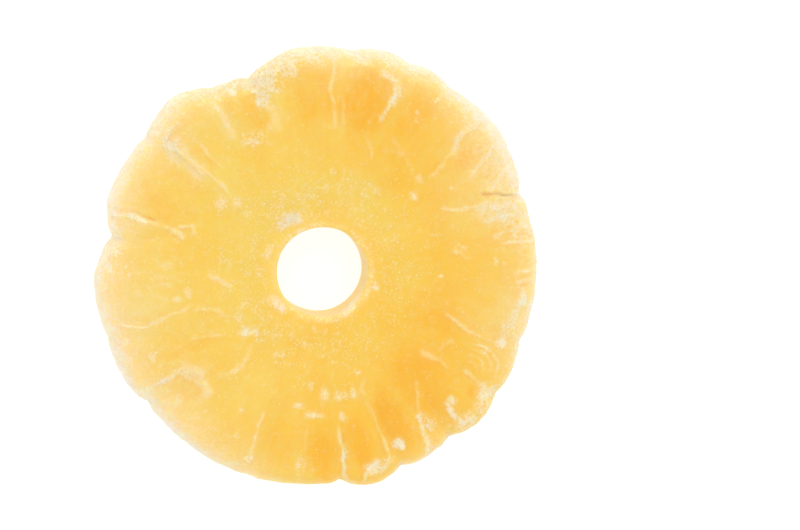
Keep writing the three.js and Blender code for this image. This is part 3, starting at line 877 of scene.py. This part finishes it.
clean = lay_patches(CLEAN_PATCHES, flat_points, CLEAN_RAGGED * ragged_edge, strength=0)
clean *= 1 - near_hub
dusting = DUSTING + SIDE_DUSTING * paler_side + HUB_DUSTING * near_hub
dusting *= np.clip(clumps, 0, MOST_DUSTED) * (1 - at_hole_wall) * (1 - clean)
under = layered(flat_points, UNDER_SIZE, seed=105) + UNDER_GRAINY * grainy
under = smoothstep(under, *UNDER_EDGE)
under *= (1 - upper) * WALL_CLUMPS * (1 - LESS_IN_THE_HOLE * at_hole_wall)
frost = np.clip(np.maximum(frost, np.maximum(dusting, under)), 0, 1)
print("the frost covers", round(100 * float((frost > WELL_FROSTED).mean())), "% of the points")

# %% Milk
MILK_FADE = 1.2
MILK_RAGGED = 0.15
MILK_FINGERS = 0.12
MILK_EVEN = 0.97
MILK_GRAINY = 0.15
SPOT_MILK_SHARE = 0.75
SPOT_MILK_GRAINY = 0.3
HOLE_MILK = 0.2
HOLE_MILK_GRAINY = 0.4

band = inset / round_the_rim("milk_width") + MILK_RAGGED * ragged_edge + MILK_FINGERS * fingers
milk = round_the_rim("milk") * np.exp(-(np.maximum(0, band) ** MILK_FADE))
milk = milk * (MILK_EVEN + MILK_GRAINY * grainy) * (1 - LESS_LOW_DOWN * low_on_the_wall)
spot_edge = SPOT_MILK_GRAINY * grainy
milky_spots = lay_patches(PALE_PATCHES, flat_points, spot_edge, strength=1, growth=PATCH_GROWTH)
milk = np.maximum(milk, SPOT_MILK_SHARE * painted * milky_spots)
milky_hole = HOLE_MILK * np.maximum(hole_lip, inside_the_hole) * (1 + HOLE_MILK_GRAINY * grainy)
milk = np.maximum(milk, milky_hole)
milk = np.clip(milk + crease_milk * (1 - milk), 0, 1)
print("milk is", milk.mean().round(2), "on average")

# %% [markdown]
# Clouds and glassy flesh are each a weighted sum: a little everywhere, more on one side or at an edge,
# some noise, and the patches. The edge term of the cloud is a painted glow, paler flesh where light
# shines through the thin rim, and the term beside the creases is painted shade in the glassy flesh. The
# weights have names, so they can be changed one by one. Glassy flesh also thins the cloud, and the
# painted glow makes the flesh less glassy at the thin edge of the rim.

# %% Weights of clouds and glassy flesh
CLOUD_AND_GLOW_WEIGHTS = {
    "everywhere": 0.16,
    "paler side": 0.36,
    "broad noise": 0.2,
    "streaks": 0.06,
    "hub": 0.08,
    "painted glow at the thin edge": 0.25,
    "close noise": 0.12,
    "patches": 0.5,
    "hole": 0.5,
}
GLASSY_AND_SHADE_WEIGHTS = {
    "everywhere": 0.22,
    "deeper side": 0.18,
    "broad noise": 0.18,
    "streaks": -0.06,
    "hub": -0.2,
    "patches": 0.75,
    "painted shade beside creases": 1,
}
print(len(CLOUD_AND_GLOW_WEIGHTS), "weights for clouds and", len(GLASSY_AND_SHADE_WEIGHTS), "for glassy flesh")

# %% Add up the clouds
EDGE_GLOW_DEPTH = 3.0
GLOW_WHERE_MILKY = (-0.1, 0.5)
BROAD_CLOUD_SIZE = 7
CLOSE_CLOUD_SIZE = 1.5
PATCH_RAGGED = 0.25

# Painted glow: paler flesh in a band along the thin edge of the rim, where light shines through.
painted_edge_glow = (1 - smoothstep(inset, 0, EDGE_GLOW_DEPTH)) * smoothstep(round_the_rim("milk"), *GLOW_WHERE_MILKY)
cloud_and_glow_layers = {
    "everywhere": 1,
    "paler side": paler_side,
    "broad noise": layered(flat_points, BROAD_CLOUD_SIZE, seed=71),
    "streaks": streaks,
    "hub": near_hub,
    "painted glow at the thin edge": painted_edge_glow,
    "close noise": layered(flat_points, CLOSE_CLOUD_SIZE, seed=75),
    "patches": lay_patches(CLOUD_PATCHES, flat_points, PATCH_RAGGED * ragged_edge, strength=0),
    "hole": inside_the_hole,
}
cloud_and_painted_glow = sum(CLOUD_AND_GLOW_WEIGHTS[name] * layer for name, layer in cloud_and_glow_layers.items())
print("cloud is", cloud_and_painted_glow.mean().round(2), "on average")

# %% Add up the glassy flesh
BROAD_GLASSY_SIZE = 5
GLASSY_FROM = 0.5
GLASSY_THINS_CLOUD = 0.5
EDGE_GLOW_THINS_GLASSY = 0.6

glassy_and_shade_layers = {
    "everywhere": 1,
    "deeper side": 1 - paler_side,
    "broad noise": layered(flat_points, BROAD_GLASSY_SIZE, seed=81),
    "streaks": streaks,
    "hub": near_hub,
    "patches": lay_patches(GLASSY_AND_SHADE_PATCHES, flat_points, PATCH_RAGGED * ragged_edge, strength=0),
    "painted shade beside creases": painted_crease_shade,
}
glassy_and_painted_shade = sum(GLASSY_AND_SHADE_WEIGHTS[name] * layer for name, layer in glassy_and_shade_layers.items())
cloud_and_painted_glow = np.clip(cloud_and_painted_glow - GLASSY_THINS_CLOUD * np.clip(glassy_and_painted_shade - GLASSY_FROM, 0, 1), 0, 1)
glassy_and_painted_shade = np.clip(glassy_and_painted_shade * (1 - EDGE_GLOW_THINS_GLASSY * painted_edge_glow), 0, 1)
print("cloud is", cloud_and_painted_glow.mean().round(2), "and glassy", glassy_and_painted_shade.mean().round(2), "on average")

# %% [markdown]
# ## Fine relief
# Up close the surface isn't smooth. Fibres give it faint streaks, frost builds up in tiny lumps, and the
# rim is bumpy where the peel was cut away. These heights are small, a few tenths of a millimetre, but
# they are real moves of the points, so the slice keeps them from every side. Sizes and heights are in
# millimetres.

# %% Heights of the fine relief
WALL_STARTS = (34, 38)
RIM_BUMP_SIZE = 2.6
RIM_BUMP_HEIGHT = 0.16
RIM_SINK = 0.12
CRUST_FROM = 0.35
CRUST_HEIGHT = 0.08
CRUST_LUMP_SIZE = 0.8
CRUST_LUMP_HEIGHT = 0.16
STREAK_HEIGHT = 0.02
WAVE_SIZE = 1.6
WAVE_HEIGHT = 0.05
SMOOTHER_IN_THE_HOLE = 0.7
print("the rim's bumps are", RIM_BUMP_SIZE, "mm wide and", RIM_BUMP_HEIGHT, "mm high")

# %% Move the points along their normals
rim_wall = np.tile(smoothstep(plain_radius, *WALL_STARTS), columns)
rim_bumps = layered(flat_points, RIM_BUMP_SIZE, seed=91) * rim_wall
build_up = np.clip(frost - CRUST_FROM, 0, 1) * (1 - at_hole_wall)
crust_lumps = layered(flat_points, CRUST_LUMP_SIZE, seed=95, layers=2)
crust = build_up * (CRUST_HEIGHT + CRUST_LUMP_HEIGHT * crust_lumps)
wave_height = WAVE_HEIGHT * (1 - SMOOTHER_IN_THE_HOLE * at_hole_wall)
fine = STREAK_HEIGHT * streaks * upper + wave_height * layered(flat_points, WAVE_SIZE, seed=97)
fine += RIM_BUMP_HEIGHT * rim_bumps - RIM_SINK * rim_wall
flat_points = flat_points + normals * (rise + crust + fine)[:, None]
flat_points[:, 2] = np.maximum(flat_points[:, 2], 0)
print("the slice now measures", np.round(np.ptp(flat_points, axis=0), 2), "mm")

# %% [markdown]
# The mesh is made straight from the points and the faces. The finish needs the fields too. They could be
# painted on a picture that wraps the slice, but then every side needs its share of that picture. Stored
# as point attributes they belong to the mesh itself, and are as fine as the mesh.

# %% Make the mesh of the flesh
LESS_FIBROUS_HUB = 0.8


def make_piece(name, corners, quads, fields):
    mesh = bpy.data.meshes.new(name)
    mesh.from_pydata((corners * MM).tolist(), [], quads.tolist())
    mesh.shade_smooth()
    for field, values in fields:
        kind, slot = ("FLOAT", "value") if values.ndim == 1 else ("FLOAT_VECTOR", "vector")
        data = mesh.attributes.new(field, kind, "POINT").data
        data.foreach_set(slot, values.astype(np.float32).ravel())
    piece = bpy.data.objects.new(name, mesh)
    bpy.context.scene.collection.objects.link(piece)
    return piece


# The cloud field holds a painted glow at the thin edge of the rim, and the glassy field painted shade beside
# the creases and low at the bottom of the rim.
fields = [("frost", frost), ("milk", milk), ("cloud_and_painted_glow", cloud_and_painted_glow), ("glassy_and_painted_shade", glassy_and_painted_shade)]
fields += [("fibrous", 1 - LESS_FIBROUS_HUB * near_hub), ("fibre_place", round_and_out)]
flesh = make_piece("pineapple_flesh", flat_points, faces, fields)
print("the flesh has", len(flesh.data.polygons) * 2, "triangles")

# %% [markdown]
# ## Sugar grains
# Dusted sugar lies on the slice as tiny crystals, 0.1 to 0.2 mm across: thick on the frost, scattered
# round the hole and few at the rim. A particle system would only draw copies, so the grains are made as
# real little blocks, all joined in one mesh. Each block gets a random size and turn, from a seeded
# generator, and lies nearly level, a little sunk into the flesh.

# %% Choose where the grains lie
GRAINS = 5000
OFF_THE_WALL = (8.6, 9.2)
LOOKS_UP = (-0.3, 0.2)
RIM_MARGIN = 3
FEWER_AT_RIM = 0.6
LEAST_DENSITY = 0.001

chance = np.random.default_rng(7)
corners = flat_points[faces]
face_normal = np.cross(corners[:, 1] - corners[:, 0], corners[:, 3] - corners[:, 0])
face_area = np.linalg.norm(face_normal, axis=1)
face_normal /= np.maximum(face_area, 1e-12)[:, None]
radius_of_face = np.hypot(*corners.mean(1)[:, :2].T)
off_the_wall = smoothstep(radius_of_face, *OFF_THE_WALL)
face_frost = frost[faces].mean(1)
looks_up = smoothstep(face_normal[:, 2], *LOOKS_UP)
at_rim = smoothstep(radius_of_face, RIM_RADIUS - RIM_MARGIN, RIM_RADIUS)
density = (LEAST_DENSITY + face_frost**2) * off_the_wall * looks_up * (1 - FEWER_AT_RIM * at_rim) * face_area
chosen = chance.choice(len(faces), GRAINS, p=density / density.sum())
print(GRAINS, "grains, of them on frost:", int((face_frost[chosen] > WELL_FROSTED).sum()))

# %% One block, and its random turn
TIP = 0.15
BLOCK = np.array([(x, y, z) for z in (-1, 1) for y in (-1, 1) for x in (-1, 1)], float) / 2
BLOCK_FACES = np.array([(0, 2, 3, 1), (4, 5, 7, 6), (0, 1, 5, 4), (2, 6, 7, 3), (0, 4, 6, 2), (1, 3, 7, 5)])


def random_turns(count):
    spin = chance.uniform(0, np.pi, count)
    tips = chance.normal(0, TIP, (2, count))
    quarter = np.stack([np.cos(spin), *tips, np.sin(spin)])
    w, x, y, z = quarter / np.linalg.norm(quarter, axis=0)
    return np.stack([
        np.stack([1 - 2 * (y * y + z * z), 2 * (x * y - w * z), 2 * (x * z + w * y)], -1),
        np.stack([2 * (x * y + w * z), 1 - 2 * (x * x + z * z), 2 * (y * z - w * x)], -1),
        np.stack([2 * (x * z - w * y), 2 * (y * z + w * x), 1 - 2 * (x * x + y * y)], -1),
    ], 1)


print("a grain is a block of", len(BLOCK), "corners and", len(BLOCK_FACES), "faces")

# %% Make the grains as one mesh
SMALLEST_GRAIN = 0.08
LARGER_BY = 0.14
MOSTLY_SMALL = 3
STRETCH = (0.7, 1.3)
SKEW = 0.12
SINK = 0.15
WHITENESS_SPREAD = 0.2

u, v = chance.random((2, GRAINS, 1))
a, b, c, d = corners[chosen].transpose(1, 0, 2)
ground = a * (1 - u) * (1 - v) + b * u * (1 - v) + c * u * v + d * (1 - u) * v
size = SMALLEST_GRAIN + LARGER_BY * chance.random(GRAINS) ** MOSTLY_SMALL
stretch = chance.uniform(*STRETCH, (GRAINS, 1, 3)) * size[:, None, None]
skewed = BLOCK[None] * stretch
skewed[:, 4:, :2] += chance.normal(0, SKEW, (GRAINS, 1, 2)) * size[:, None, None]
blocks = np.einsum("nij,nkj->nki", random_turns(GRAINS), skewed)
blocks += (ground - face_normal[chosen] * SINK * size[:, None])[:, None]
blocks[..., 2] = np.maximum(blocks[..., 2], 0)
block_faces = (BLOCK_FACES[None] + len(BLOCK) * np.arange(GRAINS)[:, None, None]).reshape(-1, 4)
whiteness = np.clip(face_frost[chosen] + chance.normal(0.0, WHITENESS_SPREAD, GRAINS), 0, 1)
whiteness = np.repeat(whiteness, len(BLOCK))
grains = make_piece("sugar_grains", blocks.reshape(-1, 3), block_faces, [("whiteness", whiteness)])
grains.data.shade_flat()
print(2 * len(block_faces), "triangles; a grain is", size.mean().round(2), "mm across on average")

# %% [markdown]
# ## The finish of the flesh
# Candied flesh isn't opaque: light goes in, scatters and comes out a few millimetres away, more of the
# red and yellow than of the blue. Principled's subsurface does this. Its colour is mixed in steps, from
# a general golden yellow to the deep orange of glassy flesh, the paler yellow of cloudy flesh, the milky
# skins and the frost. The deep orange also paints shade beside the creases, and the paler yellow a glow
# at the thin edge of the rim. Frost doesn't fade in evenly: it covers the surface grain by grain. So fine
# noise is added to the frost field and the sum is cut off sharply, which leaves single specks where the
# field is low and a broken crust where it is high.

# %% Nodes that give a value
def new_material(name):
    material = bpy.data.materials.new(name)
    material.use_nodes = True
    tree = material.node_tree
    return material, tree, tree.nodes["Principled BSDF"]


def read_field(tree, name):
    reader = tree.nodes.new("ShaderNodeAttribute")
    reader.attribute_name = name
    return reader.outputs["Fac"]


def fine_noise(tree, size_mm, detail=3):
    texture = tree.nodes.new("ShaderNodeTexNoise")
    texture.inputs["Scale"].default_value = 1 / (size_mm * MM)
    texture.inputs["Detail"].default_value = detail
    place = tree.nodes.new("ShaderNodeTexCoord")
    tree.links.new(place.outputs["Object"], texture.inputs["Vector"])
    return texture.outputs["Fac"]


def fibre_noise(tree, size_mm):
    texture = tree.nodes.new("ShaderNodeTexNoise")
    texture.inputs["Scale"].default_value = 1 / size_mm
    place = tree.nodes.new("ShaderNodeAttribute")
    place.attribute_name = "fibre_place"
    tree.links.new(place.outputs["Vector"], texture.inputs["Vector"])
    return texture.outputs["Fac"]


flesh_finish, tree, shader = new_material("candied_flesh")
print("the flesh finish starts with", len(tree.nodes), "nodes")

# %% Nodes that change a value
def remap(tree, value, from_low, from_high, to_low=0.0, to_high=1.0):
    node = tree.nodes.new("ShaderNodeMapRange")
    node.inputs["From Min"].default_value = from_low
    node.inputs["From Max"].default_value = from_high
    node.inputs["To Min"].default_value = to_low
    node.inputs["To Max"].default_value = to_high
    tree.links.new(value, node.inputs["Value"])
    return node.outputs["Result"]


def combine(tree, operation, first, second):
    node = tree.nodes.new("ShaderNodeMath")
    node.operation = operation
    for socket, value in zip(node.inputs, (first, second)):
        if isinstance(value, (int, float)):
            socket.default_value = value
        else:
            tree.links.new(value, socket)
    return node.outputs[0]


def mix_colour(tree, share, first, second):
    node = tree.nodes.new("ShaderNodeMix")
    node.data_type = "RGBA"
    tree.links.new(share, node.inputs["Factor"])
    for socket, value in ((node.inputs[6], first), (node.inputs[7], second)):
        if isinstance(value, tuple):
            socket.default_value = (*value, 1)
        else:
            tree.links.new(value, socket)
    return node.outputs[2]


def add(tree, first, *others):
    for other in others:
        first = combine(tree, "ADD", first, other)
    return first


def times(tree, first, second):
    return combine(tree, "MULTIPLY", first, second)


print("values can be remapped, mixed, added and multiplied")

# %% Noise that swings both ways
NOISE_RANGE = (0.25, 0.75)
SPECKLE_SIZE = 0.45
SPECKLE_SWING = 0.55
MOTTLE_SIZE = 1.2
MOTTLE_SWING = 0.35
FIBRE_SIZE = 0.3
FIBRE_SWING = 0.1


def swing(tree, noise_value, amount):
    return remap(tree, noise_value, *NOISE_RANGE, -amount, amount)


speckle = swing(tree, fine_noise(tree, SPECKLE_SIZE, detail=2), SPECKLE_SWING)
mottle = swing(tree, fine_noise(tree, MOTTLE_SIZE), MOTTLE_SWING)
uneven = add(tree, speckle, mottle)
fibres = swing(tree, fibre_noise(tree, FIBRE_SIZE), FIBRE_SWING)
fibres = times(tree, fibres, read_field(tree, "fibrous"))
print("speckles are", SPECKLE_SIZE, "mm wide, mottles", MOTTLE_SIZE, "mm")

# %% Where frost covers the flesh
FROST_GAIN = 0.95
COVERED_EDGE = (0.3, 0.7)
THIN_TO_THICK = (0.2, 0.7)
COVER_SHARES = (0.22, 0.92)

frost_field = read_field(tree, "frost")
covered = remap(tree, add(tree, times(tree, frost_field, FROST_GAIN), uneven), *COVERED_EDGE)
frost_share = times(tree, covered, remap(tree, frost_field, *THIN_TO_THICK, *COVER_SHARES))
print("frost covers a share of", COVER_SHARES[0], "where thin and", COVER_SHARES[1], "where thick")

# %% The colours of the flesh
GOLDEN = (0.915, 0.608, 0.078)
# The deep orange also serves as painted shade beside the creases, and the cloudy yellow as a painted glow at
# the thin edge of the rim.
GLASSY_AND_SHADE = (0.915, 0.480, 0.030)
CLOUDY_AND_GLOW = (0.880, 0.685, 0.180)
MILKY = (0.915, 0.695, 0.305)
PALE_SKIN = (0.870, 0.785, 0.610)
SUGARY = (0.930, 0.725, 0.370)
WHITE_SUGAR = (0.945, 0.835, 0.620)
print("seven colours are mixed for the flesh")

# %% Shares of the colours
MOTTLED_GLASS = 0.5
MOTTLED_CLOUD = 0.6
UNEVEN_MILK = 0.6
WHITER_SIZE = 0.9
WHITER_ON_MILK = 0.35
WHITER_EDGE = (0.42, 0.74)

glass_and_shade_share = add(tree, read_field(tree, "glassy_and_painted_shade"), times(tree, mottle, MOTTLED_GLASS))
cloud_and_glow_share = add(tree, read_field(tree, "cloud_and_painted_glow"), times(tree, mottle, MOTTLED_CLOUD), fibres)
milk_field = read_field(tree, "milk")
milk_share = add(tree, milk_field, times(tree, milk_field, times(tree, uneven, UNEVEN_MILK)))
whiter = add(tree, fine_noise(tree, WHITER_SIZE), times(tree, milk_field, WHITER_ON_MILK))
sugar_colour = mix_colour(tree, remap(tree, whiter, *WHITER_EDGE), SUGARY, WHITE_SUGAR)
print("glassy, cloudy and milky flesh and white sugar have their shares")

# %% Mix the colours
SKIN_FROM = 0.5

colour = mix_colour(tree, remap(tree, glass_and_shade_share, 0, 1), GOLDEN, GLASSY_AND_SHADE)
colour = mix_colour(tree, remap(tree, cloud_and_glow_share, 0, 1), colour, CLOUDY_AND_GLOW)
colour = mix_colour(tree, remap(tree, milk_share, 0, SKIN_FROM), colour, MILKY)
colour = mix_colour(tree, remap(tree, milk_share, SKIN_FROM, 1), colour, PALE_SKIN)
colour = mix_colour(tree, frost_share, colour, sugar_colour)
tree.links.new(colour, shader.inputs["Base Color"])
print("the colour comes from", colour.node.name)

# %% Gloss, depth and bump of the flesh
LIGHT_DEPTHS = (1.0, 0.6, 0.2)
LIGHT_SCALE = 2.0
SYRUP_IOR = 1.42
BARE_ROUGHNESS = 0.38
FROSTED_ROUGHNESS = 0.85
BUMP_HEIGHT = 0.1
BUMP_STRENGTH = 0.35
FROST_BUMP = 0.6

shader.inputs["Subsurface Weight"].default_value = 1
shader.inputs["Subsurface Radius"].default_value = LIGHT_DEPTHS
shader.inputs["Subsurface Scale"].default_value = LIGHT_SCALE * MM
shader.inputs["IOR"].default_value = SYRUP_IOR
roughness = remap(tree, frost_share, 0, 1, BARE_ROUGHNESS, FROSTED_ROUGHNESS)
tree.links.new(roughness, shader.inputs["Roughness"])
bump = tree.nodes.new("ShaderNodeBump")
bump.inputs["Distance"].default_value = BUMP_HEIGHT * MM
bump.inputs["Strength"].default_value = BUMP_STRENGTH
tree.links.new(add(tree, times(tree, frost_share, FROST_BUMP), uneven), bump.inputs["Height"])
tree.links.new(bump.outputs["Normal"], shader.inputs["Normal"])
flesh.data.materials.append(flesh_finish)
print("the flesh finish has", len(tree.nodes), "nodes")

# %% [markdown]
# ## The finish of the grains
# A sugar crystal is clear, so on golden flesh it looks yellow, and only in a thick crust does it look
# white. Real refraction in thousands of tiny blocks would be slow and noisy. So each grain has a plain
# colour between yellow and white, read from its own whiteness, and a gloss that varies, which makes some
# of them glint.

# %% The sugar
GRAIN_YELLOW = (0.94, 0.74, 0.30)
GRAIN_WHITE = (0.94, 0.83, 0.58)
GLINT_SIZE = 0.5
GLINT_NOISE = (0.3, 0.7)
GRAIN_ROUGHNESS = (0.3, 0.6)

sugar_finish, tree, shader = new_material("sugar")
grain_colour = mix_colour(tree, read_field(tree, "whiteness"), GRAIN_YELLOW, GRAIN_WHITE)
tree.links.new(grain_colour, shader.inputs["Base Color"])
roughness = remap(tree, fine_noise(tree, GLINT_SIZE), *GLINT_NOISE, *GRAIN_ROUGHNESS)
tree.links.new(roughness, shader.inputs["Roughness"])
grains.data.materials.append(sugar_finish)
print("the sugar finish has", len(tree.nodes), "nodes")

# %% [markdown]
# ## Where the pieces belong
# The slice is one solid in CAD and two meshes here. Each mesh is tied to the body it rides on, and the
# CAD solid is hidden, so the finer slice shows in its place.
# Both ride on the root, because nothing of the slice moves by itself.

# %% Tie the pieces to the frame
for piece in (flesh, grains):
    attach(piece, "root")
    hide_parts(NODE)
print([piece.name for piece in (flesh, grains)], "ride on root")

# %% [markdown]
# ## Floor and light
# Food on white is lit from all round. A pale world gives the even light, one large soft lamp high up
# beyond the slice gives the form, and the floor sends light back up through the thin edges. The floor is
# grey and glows itself, like the frosted glass of a light table, so it stays white in the hole.

# %% Floor
FLOOR_SIZE = 4
FLOOR_GREY = 0.35
FLOOR_ROUGHNESS = 0.8
FLOOR_GLOW = 0.76
half = FLOOR_SIZE / 2
floor_mesh = bpy.data.meshes.new("floor")
floor_corners = [(-half, -half, 0), (half, -half, 0), (half, half, 0), (-half, half, 0)]
floor_mesh.from_pydata(floor_corners, [], [(0, 1, 2, 3)])
floor = bpy.data.objects.new("floor", floor_mesh)
bpy.context.scene.collection.objects.link(floor)
floor_finish, tree, shader = new_material("pale_floor")
shader.inputs["Base Color"].default_value = (FLOOR_GREY, FLOOR_GREY, FLOOR_GREY, 1)
shader.inputs["Roughness"].default_value = FLOOR_ROUGHNESS
shader.inputs["Emission Color"].default_value = (1, 1, 1, 1)
shader.inputs["Emission Strength"].default_value = FLOOR_GLOW
floor.data.materials.append(floor_finish)
floor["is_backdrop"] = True
print("the floor is", FLOOR_SIZE, "m wide")

# %% Lights
WORLD_STRENGTH = 0.95
LAMP_POWER = 2.8
LAMP_PLACE = Vector((0.05, 0.75, 0.85))
LAMP_SIZE = 0.7

world = bpy.data.worlds.new("studio")
world.use_nodes = True
world.node_tree.nodes["Background"].inputs["Strength"].default_value = WORLD_STRENGTH
world.node_tree.nodes["Background"].inputs["Color"].default_value = (1, 1, 1, 1)
bpy.context.scene.world = world
lamp = bpy.data.objects.new("lamp", bpy.data.lights.new("lamp", "AREA"))
lamp.data.energy = LAMP_POWER
lamp.data.size = LAMP_SIZE
lamp.location = LAMP_PLACE
lamp.rotation_mode = "QUATERNION"
lamp.rotation_quaternion = (-LAMP_PLACE).to_track_quat("-Z", "Y")
bpy.context.scene.collection.objects.link(lamp)
bpy.context.scene.view_settings.view_transform = "Standard"
print("world", WORLD_STRENGTH, "and lamp", LAMP_POWER, "W")

# %% [markdown]
# ## The size of the slice
# The finer slice must stay the size of the CAD slice, so both boxes are printed.

# %% Print both boxes
boxes = {"cad": cad_box, "visual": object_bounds()}
boxes = {name: [list(corner) for corner in pair] for name, pair in boxes.items()}
print(boxes)
